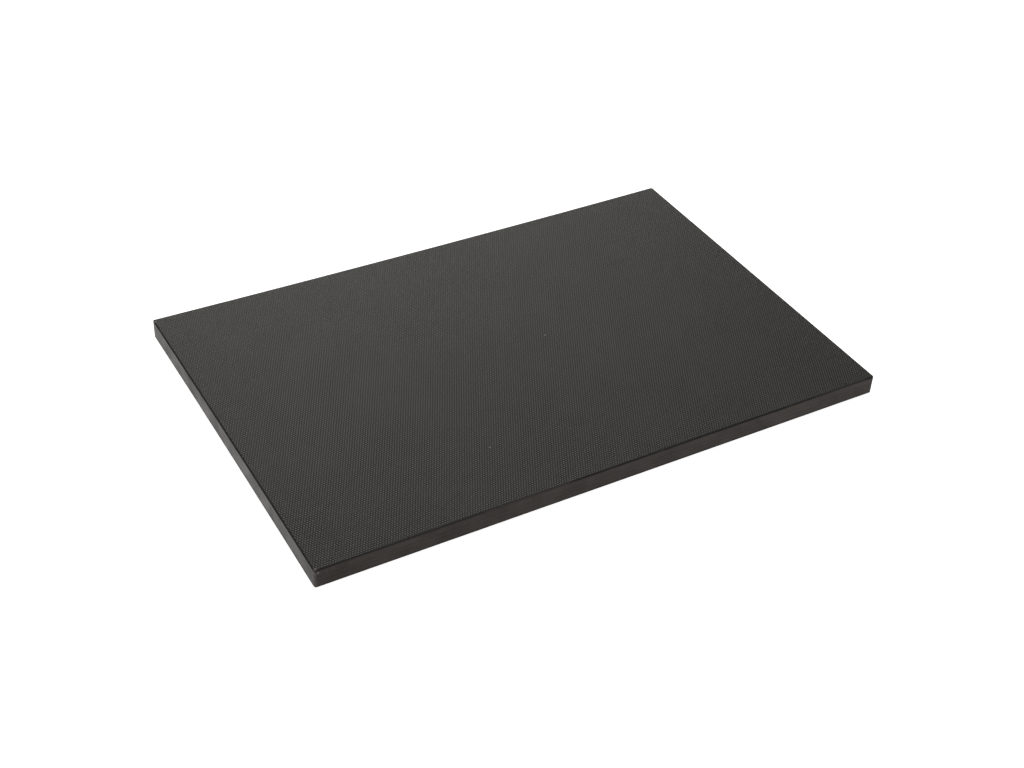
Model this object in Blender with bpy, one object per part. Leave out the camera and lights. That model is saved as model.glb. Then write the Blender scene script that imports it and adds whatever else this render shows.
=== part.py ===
"""Self healing mat for leather work: a five-ply slab, bonded by heat, with no fasteners.

A stiff core sits in the middle. A soft ply that closes up after a cut lies on each side of
it, and a thin embossed skin covers each face. Every length is in metres. +X runs along the
long edge, +Y along the short edge and +Z up. The origin is the centre of the underside.
"""

import math

import bmesh
import bpy

# Driving dimensions
LENGTH = 0.300
WIDTH = 0.200
THICKNESS = 0.010
SKIN_THICKNESS = 0.0006
CORE_THICKNESS = 0.0020
BOND_GAP = 0.0003
CORNER_RADIUS = 0.0012
RIM_RADIUS = 0.0002

# Faces round a quarter turn, and the bevel profile that is an arc
CORNER_SEGMENTS = 6
RIM_SEGMENTS = 3
ROUND_PROFILE = 0.5

# Edges bent by less than this are shaded smooth, and points this near in height are level
SMOOTH_ANGLE = math.radians(35)
LEVEL_TOLERANCE = 0.000001

# Each soft ply is half of what the skins, the core and the four bonds leave over
HEALING_THICKNESS = (THICKNESS - 2 * SKIN_THICKNESS - CORE_THICKNESS - 4 * BOND_GAP) / 2

# Colour, roughness and metallic value of each kind of ply
SKIN_FINISH = ((0.052, 0.051, 0.048), 0.55, 0.0)
HEALING_FINISH = ((0.050, 0.043, 0.040), 0.60, 0.0)
CORE_FINISH = ((0.036, 0.032, 0.031), 0.50, 0.0)

# The plies from the underside up: name, thickness, finish, and the rim that is rounded
PLIES = (
    ("bottom_skin", SKIN_THICKNESS, SKIN_FINISH, "lower"),
    ("lower_healing_layer", HEALING_THICKNESS, HEALING_FINISH, None),
    ("rigid_core", CORE_THICKNESS, CORE_FINISH, None),
    ("upper_healing_layer", HEALING_THICKNESS, HEALING_FINISH, None),
    ("top_skin", SKIN_THICKNESS, SKIN_FINISH, "upper"),
)


def clear_scene():
    for old in list(bpy.data.objects):
        bpy.data.objects.remove(old, do_unlink=True)


def make_material(name, finish):
    colour, roughness, metallic = finish
    material = bpy.data.materials.new(name)
    material.use_nodes = True
    shader = material.node_tree.nodes["Principled BSDF"]
    shader.inputs["Base Color"].default_value = (*colour, 1.0)
    shader.inputs["Roughness"].default_value = roughness
    shader.inputs["Metallic"].default_value = metallic
    material.diffuse_color = (*colour, 1.0)
    return material


def outline():
    """The plan of every ply: a rectangle with rounded corners, counter-clockwise."""
    points = []
    for quarter, (side_x, side_y) in enumerate(((1, 1), (-1, 1), (-1, -1), (1, -1))):
        centre_x = side_x * (LENGTH / 2 - CORNER_RADIUS)
        centre_y = side_y * (WIDTH / 2 - CORNER_RADIUS)
        for step in range(CORNER_SEGMENTS + 1):
            angle = (quarter + step / CORNER_SEGMENTS) * math.pi / 2
            x = centre_x + CORNER_RADIUS * math.cos(angle)
            y = centre_y + CORNER_RADIUS * math.sin(angle)
            points.append((x, y))
    return points


def rim_edges(shape, height):
    """The edges that lie all round the outline at one height."""
    return [
        edge
        for edge in shape.edges
        if all(abs(corner.co.z - height) < LEVEL_TOLERANCE for corner in edge.verts)
    ]


def make_ply(name, thickness, finish, rounded_rim, underside):
    shape = bmesh.new()
    base = shape.faces.new([shape.verts.new((x, y, 0)) for x, y in outline()])
    raised = bmesh.ops.extrude_face_region(shape, geom=[base])
    top_points = [item for item in raised["geom"] if isinstance(item, bmesh.types.BMVert)]
    bmesh.ops.translate(shape, verts=top_points, vec=(0, 0, thickness))
    bmesh.ops.recalc_face_normals(shape, faces=shape.faces)
    if rounded_rim:
        height = thickness if rounded_rim == "upper" else 0
        bmesh.ops.bevel(
            shape,
            geom=rim_edges(shape, height),
            offset=RIM_RADIUS,
            segments=RIM_SEGMENTS,
            profile=ROUND_PROFILE,
            affect="EDGES",
        )
    mesh = bpy.data.meshes.new(name)
    shape.to_mesh(mesh)
    shape.free()
    mesh.shade_smooth()
    mesh.set_sharp_from_angle(angle=SMOOTH_ANGLE)
    mesh.materials.append(make_material(name + "_finish", finish))
    ply = bpy.data.objects.new(name, mesh)
    ply.location = (0, 0, underside)
    bpy.context.scene.collection.objects.link(ply)
    return ply


def make_mat():
    """The plies, stacked from the underside up and held by one empty at the origin."""
    origin = bpy.data.objects.new("self_healing_mat", None)
    bpy.context.scene.collection.objects.link(origin)
    underside = 0.0
    for name, thickness, finish, rounded_rim in PLIES:
        ply = make_ply(name, thickness, finish, rounded_rim, underside)
        ply.parent = origin
        underside += thickness + BOND_GAP


clear_scene()
make_mat()
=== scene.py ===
"""Looks of a self healing mat for leather work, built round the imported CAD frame.

The mat is a slab of five bonded plies. Its two skins are embossed with rows of small oval
pebbles, and its sides are the bare cut edge of the sheet that it came from. Every length is
in metres, in the frame of the CAD: +X along the long edge, +Z up, z = 0 under the mat.
"""

import math

import bmesh
import bpy
import numpy as np
from mathutils import Euler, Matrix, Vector, noise


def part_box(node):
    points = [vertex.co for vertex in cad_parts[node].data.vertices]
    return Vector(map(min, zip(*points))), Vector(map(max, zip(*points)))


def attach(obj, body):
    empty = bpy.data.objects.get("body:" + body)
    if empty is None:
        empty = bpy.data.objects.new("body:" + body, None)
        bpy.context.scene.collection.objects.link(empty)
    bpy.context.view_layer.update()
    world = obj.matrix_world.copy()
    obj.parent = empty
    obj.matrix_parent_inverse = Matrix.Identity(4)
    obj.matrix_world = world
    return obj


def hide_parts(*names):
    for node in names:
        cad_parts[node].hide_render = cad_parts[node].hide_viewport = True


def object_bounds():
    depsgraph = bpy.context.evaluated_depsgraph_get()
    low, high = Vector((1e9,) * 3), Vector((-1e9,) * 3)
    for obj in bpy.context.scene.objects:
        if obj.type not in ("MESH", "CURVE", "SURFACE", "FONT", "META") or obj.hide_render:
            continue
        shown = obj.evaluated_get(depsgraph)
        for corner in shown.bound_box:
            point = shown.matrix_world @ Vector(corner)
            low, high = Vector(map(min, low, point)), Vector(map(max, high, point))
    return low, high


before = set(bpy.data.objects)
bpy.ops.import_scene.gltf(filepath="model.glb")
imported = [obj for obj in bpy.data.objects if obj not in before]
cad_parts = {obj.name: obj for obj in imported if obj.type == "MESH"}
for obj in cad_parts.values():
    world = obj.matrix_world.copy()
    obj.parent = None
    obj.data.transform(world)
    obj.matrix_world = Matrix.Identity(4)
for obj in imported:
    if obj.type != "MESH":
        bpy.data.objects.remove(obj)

CAD_LOW, CAD_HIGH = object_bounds()
HALF_LENGTH = (CAD_HIGH.x - CAD_LOW.x) / 2
HALF_WIDTH = (CAD_HIGH.y - CAD_LOW.y) / 2

# Outline of the slab, seen from above
CORNER_RADIUS = 0.0012
CORNER_STEPS = 8
OUTLINE_STEP = 0.0006

# How far the middle of a side lies inside the straight line between its corners
BACK_BOW = 0.0013
LEFT_BOW = 0.00033

# Hairline between two plies, and the rounding of their edges and of the mat's two rims
HAIRLINE = 0.00003
PLY_ROUND = 0.00005
TOP_RIM_ROUND = 0.0004
FOOT_RIM_ROUND = 0.0002

# Width of the border between the pebbles and the rim, which the cut squeezed flat. On the top it
# lies at the feet of the pebbles. On the underside it is a lip, this deep below their crowns
FLAT_BORDER = 0.0003
LIP_DEPTH = 0.00002

# Rows of faces round each rounded edge, and the height of the rows down a cut side
ROUND_STEPS = 4
SIDE_STEP = 0.0004

# Edges bent by more than this stay crisp
CRISP_ANGLE = math.radians(50)

# Place of the cut edge's material in the list of a skin's materials
EDGE_MATERIAL = 1

# Embossing: staggered rows of oval pebbles, a little out of square with the cut edges. The foot
# of a pebble has its corners on an oval of this half width and half length, and the heights and
# the sizes of the pebbles vary by the spread
COLUMN_PITCH = 0.001284
ROW_PITCH = 0.001256
PATTERN_TURN = math.radians(-0.55)
PEBBLE_HEIGHT = 0.00025
PEBBLE_HALF_WIDTH = 0.00047
PEBBLE_HALF_LENGTH = 0.00079
PEBBLE_SPREAD = 0.07
PEBBLE_SIDES = 6
FIRST_SPOKE = math.radians(30)
PEBBLE_SEED = 7

# The embossed sheet starts larger than the mat by some pebbles at each end. It is trimmed to a
# margin beyond the cut and then cut, and a point this near to the cut counts as lying on it
SPARE_PEBBLES = 6
CUT_MARGIN = 0.0015
CUT_TOLERANCE = 1e-7

# Rings of a pebble, from the crown outwards: share of the foot's radius, share of the height
DOME_RINGS = ((0.55, 0.72), (1.0, 0.0))
CONE_RINGS = ((1.0, 0.0),)

# How far the knife wandered off the outline, always inwards: size of the waves, and depth
CUT_WAVES = ((0.020, 0.00006), (0.0035, 0.00004), (0.0008, 0.000015))

# The plies from the underside up: CAD node, name of the piece that replaces it, and slot
PLIES = (
    ("bottom_skin", "pebbled_bottom_skin", "embossed_skin"),
    ("lower_healing_layer", "lower_soft_ply", "healing_ply"),
    ("rigid_core", "stiff_core_ply", "core_ply"),
    ("upper_healing_layer", "upper_soft_ply", "healing_ply"),
    ("top_skin", "pebbled_top_skin", "embossed_skin"),
)

# Colours, as linear values
WHITE = (1, 1, 1, 1)
# Gaps between the pebbles: painted shade. Crowns: rubbed paler, with a painted highlight
GAP_PAINTED_SHADE_COLOUR = (0.006, 0.006, 0.006, 1)
CROWN_WEAR_AND_HIGHLIGHT_COLOUR = (0.105, 0.098, 0.085, 1)
RUBBED_COLOUR = (0.066, 0.062, 0.056, 1)
DUST_COLOUR = (0.45, 0.44, 0.42, 1)
# Pale scuffs and worn corners: partly wear, partly a painted highlight where light catches corners
SCUFF_AND_HIGHLIGHT_COLOUR = (0.170, 0.155, 0.140, 1)
# Cut edge of a skin: dark vinyl, with painted shade at the top rim and a painted contact shadow at the
# foot
SKIN_EDGE_AND_SHADE_COLOUR = (0.031, 0.029, 0.027, 1)
SKIN_EDGE_RUBBED = (0.060, 0.053, 0.048, 1)
# Near-black nicks: painted shade, as the nicks have no relief
NICK_SHADE_COLOUR = (0.003, 0.002, 0.002, 1)
SOFT_DARK = (0.0203, 0.0150, 0.0122, 1)
SOFT_PALE = (0.0371, 0.0292, 0.0249, 1)
CORE_DARK = (0.0192, 0.0143, 0.0116, 1)
CORE_PALE = (0.0352, 0.0277, 0.0236, 1)

# Share of a pebble's height, down from its crown, at which the painted shade of its foot ends
# and at which its pale crown, partly rubbed and partly a painted highlight, begins
FOOT_SHADE_ENDS = 0.8
CROWN_HIGHLIGHT_BEGINS = 0.2

# Noise in the materials: size of its features, and detail
SKIN_BLOTCH = (0.03, 3.0)
SKIN_SPECKLE = (0.0004, 2.0)
WEAR_BREAK = (0.0012, 3.0)
CUT_BLOTCH = (0.011, 4.0)
CUT_STREAK = (0.0007, 3.0)
CUT_GRAIN = (0.00015, 2.0)
EDGE_PATCH = (0.004, 3.0)
EDGE_GRAIN = (0.0003, 3.0)

# How each mark grows with its noise: from which value to which, from what strength to what
SKIN_BLOTCH_SHOWS = (0.35, 0.7, 0.0, 0.16)
SKIN_SPECKLE_SHOWS = (0.6, 0.8, 0.0, 0.15)
WEAR_SHOWS = (0.25, 0.55, 0.0, 1.0)
CUT_BLOTCH_SHOWS = (0.3, 0.7, 0.0, 1.0)
CUT_STREAK_SHOWS = (0.45, 0.75, 0.0, 0.35)
EDGE_PATCH_SHOWS = (0.52, 0.72, 0.0, 0.45)

# The streaks of the knife run down the sides: z is scaled by this before their noise
STREAK_SQUEEZE = 0.15

# Depth of the relief that a noise draws on its surface
SPECKLE_RELIEF = 0.00001
STREAK_RELIEF = 0.00004
CUT_GRAIN_RELIEF = 0.00001
EDGE_GRAIN_RELIEF = 0.00002

# Noise values between which roughness varies, and the roughness of a skin at either one
NOISE_SPREAD = (0.3, 0.7)
SKIN_ROUGHNESS = (0.34, 0.46)
SKIN_EDGE_ROUGHNESS = (0.6, 0.8)

# Roughness of the cut plies, and how much smoother the pale blotches are than the dark ones
SOFT_ROUGHNESS = 0.38
CORE_ROUGHNESS = 0.36
BLOTCH_SMOOTHER = 0.14

# How strongly each surface reflects, where 0.5 is what plain plastic does
SKIN_SPECULAR = 0.25
CUT_SPECULAR = 0.13
SKIN_EDGE_SPECULAR = 0.03

# Studio: light of the air round the mat, then the grey of the table and how much it glows
AIR_LIGHT = 0.30
TABLE_COLOUR = 0.85
TABLE_GLOW = 0.87

# Table: how far it reaches to every side, and how far its surface lies below the mat
TABLE_REACH = 6.0
TABLE_DROP = 0.0001

# Softboxes, all of one size and at one distance from the mat: name, heading from +Y towards
# +X and height above the horizon, both in degrees, and power in watts
SOFTBOX_SIZE = (0.9, 0.6)
SOFTBOX_COLOUR = (1.0, 0.985, 0.955)
SOFTBOX_DISTANCE = 1.35
SOFTBOXES = (
    ("back_softbox", 5, 32, 3.8),
    ("low_back_softbox", 30, 15, 2.6),
    ("high_softbox", 30, 75, 2.9),
)

# Dust on the work surface: x, y and radius of each fleck
DUST = (
    (0.021, 0.002, 0.00042),
    (0.0245, -0.0035, 0.00022),
    (0.0175, 0.0065, 0.00020),
    (0.0265, -0.0015, 0.00018),
    (-0.046, -0.0625, 0.00034),
    (0.105, -0.025, 0.00022),
    (0.1435, -0.042, 0.00024),
    (-0.108, 0.055, 0.00022),
)

# Worn places: the stretches of the front where the skins' dark edges, dark partly from painted
# shade, are rubbed paler, each with the x of its middle, its reach to either side and its strength
RUBBED_STRETCHES = (
    (-0.047, 0.026, 1.0),
    (-0.090, 0.060, 0.35),
    (0.130, 0.018, 0.6),
)

# Share of a stretch's reach in which it has its full strength, and how far behind the front it
# starts to fade and is gone
STRETCH_CORE = 0.75
STRETCH_FADES = 0.001
STRETCH_GONE = 0.002

# Share of its radius in which a nick of painted shade, a scuff that is partly a painted highlight or a
# fleck of dust has its full strength
SPOT_CORE = 0.4

# x, y, z and radius of each nick, a spot of painted shade, and of each scuff, which is partly wear
# and partly a painted highlight
SHADED_NICKS = (
    (0.1329, 0.0015 - HALF_WIDTH, CAD_HIGH.z, 0.0011),
    (0.0008 - HALF_LENGTH, 0.0004 - HALF_WIDTH, CAD_HIGH.z - 0.0010, 0.0006),
)
SCUFFS_AND_HIGHLIGHTS = (
    (0.0010 - HALF_LENGTH, 0.0011 - HALF_WIDTH, CAD_HIGH.z - 0.0002, 0.0010),
    (0.0007 - HALF_LENGTH, HALF_WIDTH - 0.0022, CAD_HIGH.z - 0.0004, 0.0012),
    (0.0019 - HALF_LENGTH, -HALF_WIDTH, CAD_HIGH.z - 0.0019, 0.0007),
)

# How far wear, partly a painted highlight, reaches along the sides from an upright corner, and how
# much it covers of a ply
CORNER_WEAR_AND_HIGHLIGHT = 0.0014
PLY_WEAR_AND_HIGHLIGHT = 0.75

# Camera: place, then heading from +Y towards +X, tilt below the horizon, and roll
CAMERA_PLACE = (-0.32562, -0.54099, 0.47741)
CAMERA_HEADING = math.radians(31.194)
CAMERA_TILT = math.radians(37.824)
CAMERA_ROLL = math.radians(3.005)
CAMERA_LENS_MM = 55.54
CAMERA_SENSOR_MM = 36.0


# ---------------------------------------------------------------- shape of the slab


def corner_centre(x, y):
    """The nearest point of the rectangle that joins the centres of the rounded corners."""
    reach_x = HALF_LENGTH - CORNER_RADIUS
    reach_y = HALF_WIDTH - CORNER_RADIUS
    return Vector((max(-reach_x, min(reach_x, x)), max(-reach_y, min(reach_y, y))))


def outward(x, y):
    """The level direction that points straight out of the slab near one point of its side."""
    return (Vector((x, y)) - corner_centre(x, y)).normalized()


def cut_depth(x, y, z):
    """How far inside the outline the cut side lies at one point."""
    depth = 0.0
    for size, most in CUT_WAVES:
        wave = noise.noise(Vector((x, y, z)) / size)
        depth += most * (0.5 + 0.5 * wave)
    return depth


def on_side(point, inset, z):
    """The place on the cut side beside a point of the outline, at one inset and height."""
    way = outward(point.x, point.y)
    base = corner_centre(point.x, point.y)
    place = base + way * (CORNER_RADIUS - inset - cut_depth(point.x, point.y, z))
    return Vector((place.x, place.y, z))


def outline_points():
    """Points all round the outline, counter-clockwise, starting at the back right corner."""
    points = []
    reach = Vector((HALF_LENGTH - CORNER_RADIUS, HALF_WIDTH - CORNER_RADIUS))
    corners = [(1, 1), (-1, 1), (-1, -1), (1, -1)]
    for quarter, (side_x, side_y) in enumerate(corners):
        centre = Vector((side_x * reach.x, side_y * reach.y))
        for step in range(CORNER_STEPS):
            angle = (quarter + step / CORNER_STEPS) * math.pi / 2
            spoke = Vector((math.cos(angle), math.sin(angle)))
            points.append(centre + spoke * CORNER_RADIUS)
        angle = (quarter + 1) * math.pi / 2
        spoke = Vector((math.cos(angle), math.sin(angle))) * CORNER_RADIUS
        next_x, next_y = corners[(quarter + 1) % len(corners)]
        start = centre + spoke
        end = Vector((next_x * reach.x, next_y * reach.y)) + spoke
        count = round((end - start).length / OUTLINE_STEP)
        points += [start.lerp(end, step / count) for step in range(count)]
    return points


def side_profile(low, high, low_round, high_round):
    """(inset, height) pairs down a ply's side, from its upper face to its lower face."""
    profile = []
    for step in range(ROUND_STEPS):
        angle = step / ROUND_STEPS * math.pi / 2
        profile.append((high_round * (1 - math.sin(angle)), high - high_round * (1 - math.cos(angle))))
    top, bottom = high - high_round, low + low_round
    rows = max(1, round((top - bottom) / SIDE_STEP))
    profile += [(0.0, top + (bottom - top) * row / rows) for row in range(rows + 1)]
    for step in range(1, ROUND_STEPS + 1):
        angle = step / ROUND_STEPS * math.pi / 2
        profile.append((low_round * (1 - math.cos(angle)), low + low_round * (1 - math.sin(angle))))
    return profile


def bow_sides(shape):
    """Draws the middles of the back and left sides in, and all between them along with it."""
    for point in shape.verts:
        across = max(0.0, point.co.y / HALF_WIDTH) ** 2
        along = max(0.0, -point.co.x / HALF_LENGTH) ** 2
        middle_x = 1 - (point.co.x / HALF_LENGTH) ** 2
        middle_y = 1 - (point.co.y / HALF_WIDTH) ** 2
        point.co.y -= BACK_BOW * middle_x * across
        point.co.x += LEFT_BOW * middle_y * along


def finished_mesh(name, shape, materials):
    """Turns a bmesh into a smooth-shaded object that keeps its crisp edges."""
    bow_sides(shape)
    mesh = bpy.data.meshes.new(name)
    bmesh.ops.recalc_face_normals(shape, faces=shape.faces)
    shape.to_mesh(mesh)
    shape.free()
    mesh.shade_smooth()
    mesh.set_sharp_from_angle(angle=CRISP_ANGLE)
    for material in materials:
        mesh.materials.append(material)
    piece = bpy.data.objects.new(name, mesh)
    bpy.context.scene.collection.objects.link(piece)
    return piece


def lower_loop(shape, loop, inset, z, material_index=0):
    """Extrudes the open edges of a side by one row, and returns the new open edges."""
    made = bmesh.ops.extrude_edge_only(shape, edges=loop)["geom"]
    for item in made:
        if isinstance(item, bmesh.types.BMVert):
            item.co = on_side(item.co, inset, z)
        elif isinstance(item, bmesh.types.BMFace):
            item.material_index = material_index
    return [item for item in made if isinstance(item, bmesh.types.BMEdge) and item.is_boundary]


def make_ply(name, low, high, materials):
    """A flat ply with cut sides: the side's rows from top to bottom, between two flat faces."""
    shape = bmesh.new()
    profile = side_profile(low, high, PLY_ROUND, PLY_ROUND)
    inset, z = profile[0]
    rim = [shape.verts.new(on_side(point, inset, z)) for point in outline_points()]
    shape.faces.new(rim)
    loop = list(shape.edges)
    for inset, z in profile[1:]:
        loop = lower_loop(shape, loop, inset, z)
    bmesh.ops.holes_fill(shape, edges=loop, sides=0)
    return finished_mesh(name, shape, materials)


# ---------------------------------------------------------------- embossed skins


def pebble_points(row, column, rings):
    """A crown and some rings for each pebble, with the highest crowns at z = 0."""
    random = np.random.RandomState(PEBBLE_SEED)
    height = PEBBLE_HEIGHT * (1 - PEBBLE_SPREAD * random.rand(*row.shape))
    size = 1 + PEBBLE_SPREAD * (random.rand(*row.shape) - 0.5)
    centre_x = (column + row % 2 / 2) * COLUMN_PITCH
    centre_y = row * ROW_PITCH

    points = np.zeros(row.shape + (1 + PEBBLE_SIDES * len(rings), 3))
    points[..., 0, 0], points[..., 0, 1] = centre_x, centre_y
    points[..., 0, 2] = height - PEBBLE_HEIGHT
    for number, (reach, rise) in enumerate(rings):
        for side in range(PEBBLE_SIDES):
            angle = FIRST_SPOKE + side * 2 * math.pi / PEBBLE_SIDES
            place = 1 + number * PEBBLE_SIDES + side
            across = reach * PEBBLE_HALF_WIDTH * math.cos(angle)
            along = reach * PEBBLE_HALF_LENGTH * math.sin(angle)
            points[..., place, 0] = centre_x + across * size
            points[..., place, 1] = centre_y + along * size
            points[..., place, 2] = rise * height - PEBBLE_HEIGHT
    cosine, sine = math.cos(PATTERN_TURN), math.sin(PATTERN_TURN)
    return points @ np.array([[cosine, sine, 0], [-sine, cosine, 0], [0, 0, 1]])


def dome_corners(rings):
    """The triangles of one pebble, by the numbers of its own points."""
    corners = []
    for side in range(PEBBLE_SIDES):
        following = (side + 1) % PEBBLE_SIDES
        corners.append((0, 1 + side, 1 + following))
        for number in range(len(rings) - 1):
            inner = 1 + number * PEBBLE_SIDES
            outer = inner + PEBBLE_SIDES
            corners.append((inner + side, outer + side, outer + following))
            corners.append((inner + side, outer + following, inner + following))
    return corners


def gap_corners(row, crown, foot):
    """The triangles between the pebbles, each corner a grid of crowns and a point's number.

    The feet of a pebble are numbered anticlockwise from 30 degrees, so that two of its six
    sides face the pebbles beside it in its row, and the others those of the next rows.
    """
    odd = (row % 2)[:-1, 1:-1].astype(bool)
    here = crown[:-1, 1:-1]
    beside = crown[:-1, 2:]
    above = crown[1:, :]
    above_right = np.where(odd, above[:, 2:], above[:, 1:-1])
    above_left = np.where(odd, above[:, 1:-1], above[:, :-2])
    gaps = [
        ((here, 5), (beside, 3), (beside, 2)),
        ((here, 5), (beside, 2), (here, 0)),
        ((here, 0), (above_right, 4), (above_right, 3)),
        ((here, 0), (above_right, 3), (here, 1)),
        ((here, 1), (above_left, 5), (above_left, 4)),
        ((here, 1), (above_left, 4), (here, 2)),
        ((here, 0), (beside, 2), (above_right, 4)),
        ((here, 1), (above_right, 3), (above_left, 5)),
    ]
    return [[(pebble, foot + point) for pebble, point in gap] for gap in gaps]


def pebble_lattice(rings):
    """Points and triangles of the embossed sheet, which is larger than the mat."""
    columns = math.ceil(HALF_LENGTH / COLUMN_PITCH) + SPARE_PEBBLES
    rows = math.ceil(HALF_WIDTH / ROW_PITCH) + SPARE_PEBBLES
    row, column = np.mgrid[-rows : rows + 1, -columns : columns + 1]
    points = pebble_points(row, column, rings)
    size = points.shape[2]
    crown = np.arange(row.size).reshape(row.shape) * size
    here = crown[:-1, 1:-1]
    corners = [[(here, point) for point in corner] for corner in dome_corners(rings)]
    corners += gap_corners(row, crown, size - PEBBLE_SIDES)
    triangles = [
        np.stack([(pebble + point).ravel() for pebble, point in corner], axis=1)
        for corner in corners
    ]
    return points.reshape(-1, 3), np.concatenate(triangles)


def trimmed(points, triangles):
    """Only the triangles on the mat or within the cutting margin of it, and their points."""
    reach = np.array([HALF_LENGTH + CUT_MARGIN, HALF_WIDTH + CUT_MARGIN])
    near = (np.abs(points[:, :2]) < reach).all(axis=1)
    triangles = triangles[near[triangles].all(axis=1)]
    used, triangles = np.unique(triangles, return_inverse=True)
    return points[used], triangles.reshape(-1, 3)


def cut_straight(shape, axis, side, reach):
    """Cuts the sheet along one straight side, and drops what lies beyond it."""
    near = [point for point in shape.verts if point.co[axis] * side > reach - CUT_MARGIN]
    edges = {edge for point in near for edge in point.link_edges}
    faces = {face for point in near for face in point.link_faces}
    way = Vector((0, 0, 0))
    way[axis] = side
    bmesh.ops.bisect_plane(
        shape,
        geom=near + list(edges) + list(faces),
        dist=CUT_TOLERANCE,
        plane_co=way * reach,
        plane_no=way,
        clear_outer=True,
    )


def round_corners(shape):
    """Draws the square corners of the cut sheet in to the rounded outline."""
    for point in shape.verts:
        centre = corner_centre(point.co.x, point.co.y)
        spoke = Vector((point.co.x - centre.x, point.co.y - centre.y))
        longest = max(abs(spoke.x), abs(spoke.y))
        if min(abs(spoke.x), abs(spoke.y)) > 0:
            spoke *= longest / spoke.length
            point.co.x, point.co.y = centre.x + spoke.x, centre.y + spoke.y


def make_skin(name, crown, back, border_depth, rim_round, rings, materials):
    """An embossed skin, from the crowns of its pebbles to the face that is bonded on."""
    points, triangles = trimmed(*pebble_lattice(rings))
    sheet = bpy.data.meshes.new(name + "_sheet")
    sheet.from_pydata(points, [], triangles)
    shape = bmesh.new()
    shape.from_mesh(sheet)
    bpy.data.meshes.remove(sheet)
    for axis, half in enumerate((HALF_LENGTH, HALF_WIDTH)):
        for side in (1, -1):
            cut_straight(shape, axis, side, half - rim_round - FLAT_BORDER)
    round_corners(shape)

    upwards = crown > back
    thickness = abs(crown - back)
    loop = [edge for edge in shape.edges if edge.is_boundary]
    for inset, z in side_profile(-thickness, -border_depth, PLY_ROUND, rim_round):
        loop = lower_loop(shape, loop, inset, z, EDGE_MATERIAL)
    bmesh.ops.holes_fill(shape, edges=loop, sides=0)
    for point in shape.verts:
        point.co.z = crown + point.co.z if upwards else crown - point.co.z
    return finished_mesh(name, shape, materials)


# ---------------------------------------------------------------- materials


def new_node(tree, kind, inputs=None, **settings):
    """A new node with some settings, its inputs fed by sockets or set to plain values."""
    made = tree.nodes.new(kind)
    for name, value in settings.items():
        setattr(made, name, value)
    for name, value in (inputs or {}).items():
        if isinstance(value, bpy.types.NodeSocket):
            tree.links.new(value, made.inputs[name])
        else:
            made.inputs[name].default_value = value
    return made


def mixed(tree, factor, first, second):
    """A colour between two others."""
    made = new_node(tree, "ShaderNodeMix", data_type="RGBA")
    sockets = [s for s in made.inputs if s.enabled]
    for socket, value in zip(sockets, (factor, first, second)):
        if isinstance(value, bpy.types.NodeSocket):
            tree.links.new(value, socket)
        else:
            socket.default_value = value
    return next(s for s in made.outputs if s.enabled)


def ranged(tree, value, low, high, to_low, to_high):
    """A value carried over from one range to another, and held at the ends of it."""
    made = new_node(
        tree,
        "ShaderNodeMapRange",
        {"Value": value, "From Min": low, "From Max": high, "To Min": to_low, "To Max": to_high},
    )
    return made.outputs["Result"]


def grain(tree, place, size, detail):
    """A noise value whose features are about one size across."""
    made = new_node(
        tree,
        "ShaderNodeTexNoise",
        {"Vector": place, "Scale": 1 / size, "Detail": detail},
    )
    return made.outputs["Fac"]


def bumped(tree, height, distance, normal=None):
    """A normal bent by the slopes of a height, on top of another normal where one is given."""
    inputs = {"Height": height, "Distance": distance}
    if normal:
        inputs["Normal"] = normal
    return new_node(tree, "ShaderNodeBump", inputs).outputs["Normal"]


def start_material(name):
    """A new material, its node tree, its Principled shader and its object coordinates."""
    material = bpy.data.materials.new(name)
    material.use_nodes = True
    tree = material.node_tree
    shader = tree.nodes["Principled BSDF"]
    place = new_node(tree, "ShaderNodeTexCoord").outputs["Object"]
    return material, tree, shader, place


def scaled(tree, value, factor):
    """The product of two values, of which each is a socket or a number."""
    made = new_node(tree, "ShaderNodeMath", operation="MULTIPLY")
    for socket, number in zip(made.inputs, (value, factor)):
        if isinstance(number, bpy.types.NodeSocket):
            tree.links.new(number, socket)
        else:
            socket.default_value = number
    return made.outputs[0]


def strongest(tree, values):
    """The largest of some masks."""
    result = values[0]
    for value in values[1:]:
        made = new_node(tree, "ShaderNodeMath", operation="MAXIMUM")
        tree.links.new(result, made.inputs[0])
        tree.links.new(value, made.inputs[1])
        result = made.outputs[0]
    return result


def near_point(tree, place, point, radius):
    """1 at a point of the mat, falling to 0 at a radius from it."""
    made = new_node(tree, "ShaderNodeVectorMath", operation="DISTANCE")
    tree.links.new(place, made.inputs[0])
    made.inputs[1].default_value = point
    return ranged(tree, made.outputs["Value"], radius * SPOT_CORE, radius, 1.0, 0.0)


def near_any(tree, place, spots):
    """1 at any of some spots, each given as x, y, z and radius, and 0 away from them all."""
    masks = [near_point(tree, place, (x, y, z), radius) for x, y, z, radius in spots]
    return strongest(tree, masks)


def distance_from(tree, value, middle):
    """How far one coordinate lies from a value, whichever way."""
    offset = new_node(tree, "ShaderNodeMath", operation="SUBTRACT")
    tree.links.new(value, offset.inputs[0])
    offset.inputs[1].default_value = middle
    away = new_node(tree, "ShaderNodeMath", operation="ABSOLUTE")
    tree.links.new(offset.outputs[0], away.inputs[0])
    return away.outputs[0]


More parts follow.
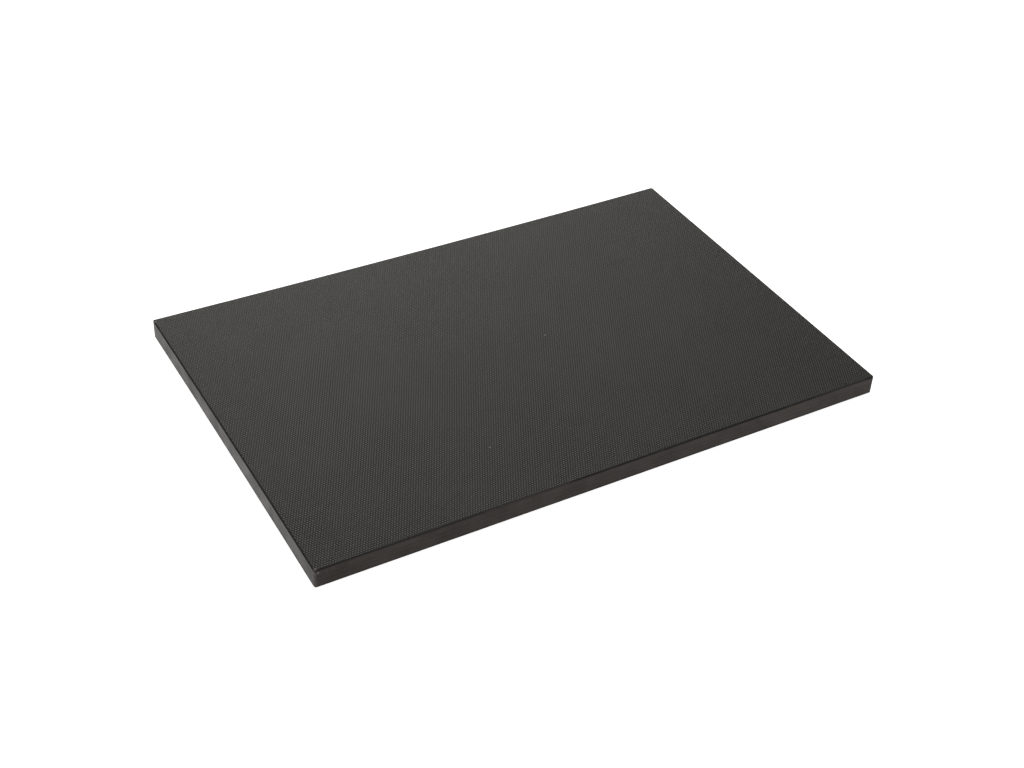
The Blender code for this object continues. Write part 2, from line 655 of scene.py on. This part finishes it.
def corner_wear_and_highlight(tree, place):
    """A mask of the four upright corners, worn and with a painted highlight, broken up by a fine
    noise.
    """
    split = new_node(tree, "ShaderNodeSeparateXYZ", {"Vector": place})
    along_x = distance_from(tree, split.outputs["X"], 0.0)
    along_y = distance_from(tree, split.outputs["Y"], 0.0)
    near_x = ranged(tree, along_x, HALF_LENGTH - CORNER_WEAR_AND_HIGHLIGHT, HALF_LENGTH, 0.0, 1.0)
    near_y = ranged(tree, along_y, HALF_WIDTH - CORNER_WEAR_AND_HIGHLIGHT, HALF_WIDTH, 0.0, 1.0)
    broken = ranged(tree, grain(tree, place, *WEAR_BREAK), *WEAR_SHOWS)
    return scaled(tree, scaled(tree, near_x, near_y), broken)


def worn_and_highlit_places(tree, place):
    """A mask of every pale corner and scuff, partly wear and partly a painted highlight."""
    return strongest(tree, [corner_wear_and_highlight(tree, place), near_any(tree, place, SCUFFS_AND_HIGHLIGHTS)])


def pebbled_vinyl():
    """Embossed black vinyl: painted shade in the gaps, crowns rubbed paler with a painted highlight.
    """
    material, tree, shader, place = start_material("pebbled_vinyl")
    split = new_node(tree, "ShaderNodeSeparateXYZ", {"Vector": place})
    away = distance_from(tree, split.outputs["Z"], (CAD_LOW.z + CAD_HIGH.z) / 2)
    crown = (CAD_HIGH.z - CAD_LOW.z) / 2
    gap_shade_to = crown - PEBBLE_HEIGHT * FOOT_SHADE_ENDS
    crown_highlight_from = crown - PEBBLE_HEIGHT * CROWN_HIGHLIGHT_BEGINS
    # Colour by height: painted shade in the gaps, crowns rubbed paler with a painted highlight
    painted_relief_shading = ranged(tree, away, gap_shade_to, crown_highlight_from, 0.0, 1.0)
    blotch = grain(tree, place, *SKIN_BLOTCH)
    speckle = grain(tree, place, *SKIN_SPECKLE)
    base = mixed(tree, painted_relief_shading, GAP_PAINTED_SHADE_COLOUR, CROWN_WEAR_AND_HIGHLIGHT_COLOUR)
    blotchy = mixed(tree, ranged(tree, blotch, *SKIN_BLOTCH_SHOWS), base, RUBBED_COLOUR)
    speckled = mixed(tree, ranged(tree, speckle, *SKIN_SPECKLE_SHOWS), blotchy, RUBBED_COLOUR)
    top = CAD_HIGH.z - PEBBLE_HEIGHT / 2
    flecks = [(x, y, top, radius) for x, y, radius in DUST]
    dusty = mixed(tree, near_any(tree, place, flecks), speckled, DUST_COLOUR)
    # Corners and scuffs: paler with wear and a painted highlight
    worn_and_highlit = mixed(tree, worn_and_highlit_places(tree, place), dusty, SCUFF_AND_HIGHLIGHT_COLOUR)
    # Nicks: painted shade
    nick_shaded = mixed(tree, near_any(tree, place, SHADED_NICKS), worn_and_highlit, NICK_SHADE_COLOUR)
    tree.links.new(nick_shaded, shader.inputs["Base Color"])
    rough = ranged(tree, speckle, *NOISE_SPREAD, *SKIN_ROUGHNESS)
    tree.links.new(rough, shader.inputs["Roughness"])
    tree.links.new(bumped(tree, speckle, SPECKLE_RELIEF), shader.inputs["Normal"])
    shader.inputs["Specular IOR Level"].default_value = SKIN_SPECULAR
    return material


def cut_vinyl(name, dark, pale, roughness):
    """The bare cut side of a ply: faint blotches, knife streaks and a fine grain."""
    material, tree, shader, place = start_material(name)
    blotch = grain(tree, place, *CUT_BLOTCH)
    squeezed = new_node(
        tree, "ShaderNodeMapping", {"Vector": place, "Scale": (1.0, 1.0, STREAK_SQUEEZE)}
    ).outputs["Vector"]
    streak = grain(tree, squeezed, *CUT_STREAK)
    fine = grain(tree, place, *CUT_GRAIN)
    base = mixed(tree, ranged(tree, blotch, *CUT_BLOTCH_SHOWS), dark, pale)
    streaked = mixed(tree, ranged(tree, streak, *CUT_STREAK_SHOWS), base, pale)
    # Corners and scuffs: paler with wear and a painted highlight
    worn_and_highlit = mixed(tree, scaled(tree, worn_and_highlit_places(tree, place), PLY_WEAR_AND_HIGHLIGHT), streaked, SCUFF_AND_HIGHLIGHT_COLOUR)
    # Nicks: painted shade
    nick_shaded = mixed(tree, near_any(tree, place, SHADED_NICKS), worn_and_highlit, NICK_SHADE_COLOUR)
    tree.links.new(nick_shaded, shader.inputs["Base Color"])
    spread = BLOTCH_SMOOTHER / 2
    rough = ranged(tree, blotch, *NOISE_SPREAD, roughness + spread, roughness - spread)
    tree.links.new(rough, shader.inputs["Roughness"])
    ridged = bumped(tree, streak, STREAK_RELIEF)
    tree.links.new(bumped(tree, fine, CUT_GRAIN_RELIEF, normal=ridged), shader.inputs["Normal"])
    shader.inputs["Specular IOR Level"].default_value = CUT_SPECULAR
    return material


def skin_edge():
    """The cut edge of a skin: near black, partly its own dark vinyl and partly painted shade at the
    top rim and a painted contact shadow at the foot, but rubbed to the tone of the plies in places.
    """
    material, tree, shader, place = start_material("cut_skin_edge_and_painted_shade")
    split = new_node(tree, "ShaderNodeSeparateXYZ", {"Vector": place})
    stretches = []
    for middle, reach, strength in RUBBED_STRETCHES:
        beside = distance_from(tree, split.outputs["X"], middle)
        stretches.append(ranged(tree, beside, reach * STRETCH_CORE, reach, strength, 0.0))
    stretch = strongest(tree, stretches)
    fades, gone = STRETCH_FADES - HALF_WIDTH, STRETCH_GONE - HALF_WIDTH
    on_front = ranged(tree, split.outputs["Y"], fades, gone, 1.0, 0.0)
    patches = ranged(tree, grain(tree, place, *EDGE_PATCH), *EDGE_PATCH_SHOWS)
    rubbed = strongest(tree, [scaled(tree, stretch, on_front), patches])
    # Near black: dark vinyl with painted shade at the top rim and a painted contact shadow at the foot
    base = mixed(tree, rubbed, SKIN_EDGE_AND_SHADE_COLOUR, SKIN_EDGE_RUBBED)
    # Corners and scuffs: paler with wear and a painted highlight
    worn_and_highlit = mixed(tree, worn_and_highlit_places(tree, place), base, SCUFF_AND_HIGHLIGHT_COLOUR)
    # Nicks: painted shade
    nick_shaded = mixed(tree, near_any(tree, place, SHADED_NICKS), worn_and_highlit, NICK_SHADE_COLOUR)
    tree.links.new(nick_shaded, shader.inputs["Base Color"])
    fine = grain(tree, place, *EDGE_GRAIN)
    rough = ranged(tree, fine, *NOISE_SPREAD, *SKIN_EDGE_ROUGHNESS)
    tree.links.new(rough, shader.inputs["Roughness"])
    tree.links.new(bumped(tree, fine, EDGE_GRAIN_RELIEF), shader.inputs["Normal"])
    shader.inputs["Specular IOR Level"].default_value = SKIN_EDGE_SPECULAR
    return material


# ---------------------------------------------------------------- the mat


def seam_heights():
    """Where the plies meet: the middle of each CAD clearance, between the two outer faces."""
    heights = [CAD_LOW.z]
    for (under, *_), (over, *_) in zip(PLIES, PLIES[1:]):
        heights.append((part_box(under)[1][2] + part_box(over)[0][2]) / 2)
    return heights + [CAD_HIGH.z]


def make_mat():
    """The five pieces, from the underside up, each in the place of its CAD node."""
    skin = [pebbled_vinyl(), skin_edge()]
    soft = cut_vinyl("cut_soft_vinyl", SOFT_DARK, SOFT_PALE, SOFT_ROUGHNESS)
    stiff = cut_vinyl("cut_core_vinyl", CORE_DARK, CORE_PALE, CORE_ROUGHNESS)
    heights = seam_heights()
    for number, (node, name, slot) in enumerate(PLIES):
        low, high = heights[number], heights[number + 1]
        if node == "top_skin":
            rim = (PEBBLE_HEIGHT, TOP_RIM_ROUND, DOME_RINGS)
            piece = make_skin(name, high, low + HAIRLINE / 2, *rim, skin)
        elif node == "bottom_skin":
            rim = (LIP_DEPTH, FOOT_RIM_ROUND, CONE_RINGS)
            piece = make_skin(name, low, high - HAIRLINE / 2, *rim, skin)
        else:
            material = stiff if node == "rigid_core" else soft
            piece = make_ply(name, low + HAIRLINE / 2, high - HAIRLINE / 2, [material])
        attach(piece, "root")
        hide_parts(node)


# ---------------------------------------------------------------- studio


def make_floor():
    """A white table that glows all over, as a light table does."""
    mesh = bpy.data.meshes.new("studio_floor")
    corners = ((-1, -1), (1, -1), (1, 1), (-1, 1))
    points = [(x * TABLE_REACH, y * TABLE_REACH, -TABLE_DROP) for x, y in corners]
    mesh.from_pydata(points, [], [(0, 1, 2, 3)])
    floor = bpy.data.objects.new("studio_floor", mesh)
    bpy.context.scene.collection.objects.link(floor)
    material = bpy.data.materials.new("studio_table")
    material.use_nodes = True
    shader = material.node_tree.nodes["Principled BSDF"]
    shader.inputs["Base Color"].default_value = (TABLE_COLOUR, TABLE_COLOUR, TABLE_COLOUR, 1)
    shader.inputs["Roughness"].default_value = 1.0
    shader.inputs["Specular IOR Level"].default_value = 0.0
    shader.inputs["Emission Color"].default_value = WHITE
    shader.inputs["Emission Strength"].default_value = TABLE_GLOW
    mesh.materials.append(material)


def make_air():
    """Dim even light from all round, before a background that looks plain white."""
    world = bpy.data.worlds.new("studio_air")
    world.use_nodes = True
    tree = world.node_tree
    background = tree.nodes["Background"]
    background.inputs["Color"].default_value = WHITE
    seen = new_node(tree, "ShaderNodeLightPath").outputs["Is Camera Ray"]
    tree.links.new(ranged(tree, seen, 0.0, 1.0, AIR_LIGHT, 1.0), background.inputs["Strength"])
    bpy.context.scene.world = world


def make_softbox(name, heading, height, power):
    """A rectangular lamp that faces the mat."""
    data = bpy.data.lights.new(name, "AREA")
    data.shape = "RECTANGLE"
    data.size, data.size_y = SOFTBOX_SIZE
    data.energy = power
    data.color = SOFTBOX_COLOUR
    lamp = bpy.data.objects.new(name, data)
    level = SOFTBOX_DISTANCE * math.cos(math.radians(height))
    lamp.location = (
        level * math.sin(math.radians(heading)),
        level * math.cos(math.radians(heading)),
        SOFTBOX_DISTANCE * math.sin(math.radians(height)),
    )
    lamp.rotation_euler = (-lamp.location).to_track_quat("-Z", "Y").to_euler()
    bpy.context.scene.collection.objects.link(lamp)


def make_camera():
    """A camera that sees the mat as the photograph does."""
    data = bpy.data.cameras.new("camera")
    data.lens = CAMERA_LENS_MM
    data.sensor_width = CAMERA_SENSOR_MM
    camera = bpy.data.objects.new("camera", data)
    camera.location = CAMERA_PLACE
    level = Euler((math.pi / 2 - CAMERA_TILT, 0, -CAMERA_HEADING), "XYZ").to_matrix()
    roll = Euler((0, 0, CAMERA_ROLL), "XYZ").to_matrix()
    camera.rotation_euler = (level @ roll).to_euler()
    bpy.context.scene.collection.objects.link(camera)
    bpy.context.scene.camera = camera


make_camera()
make_mat()
make_floor()
make_air()
for softbox in SOFTBOXES:
    make_softbox(*softbox)
bpy.context.scene.view_settings.view_transform = "Standard"
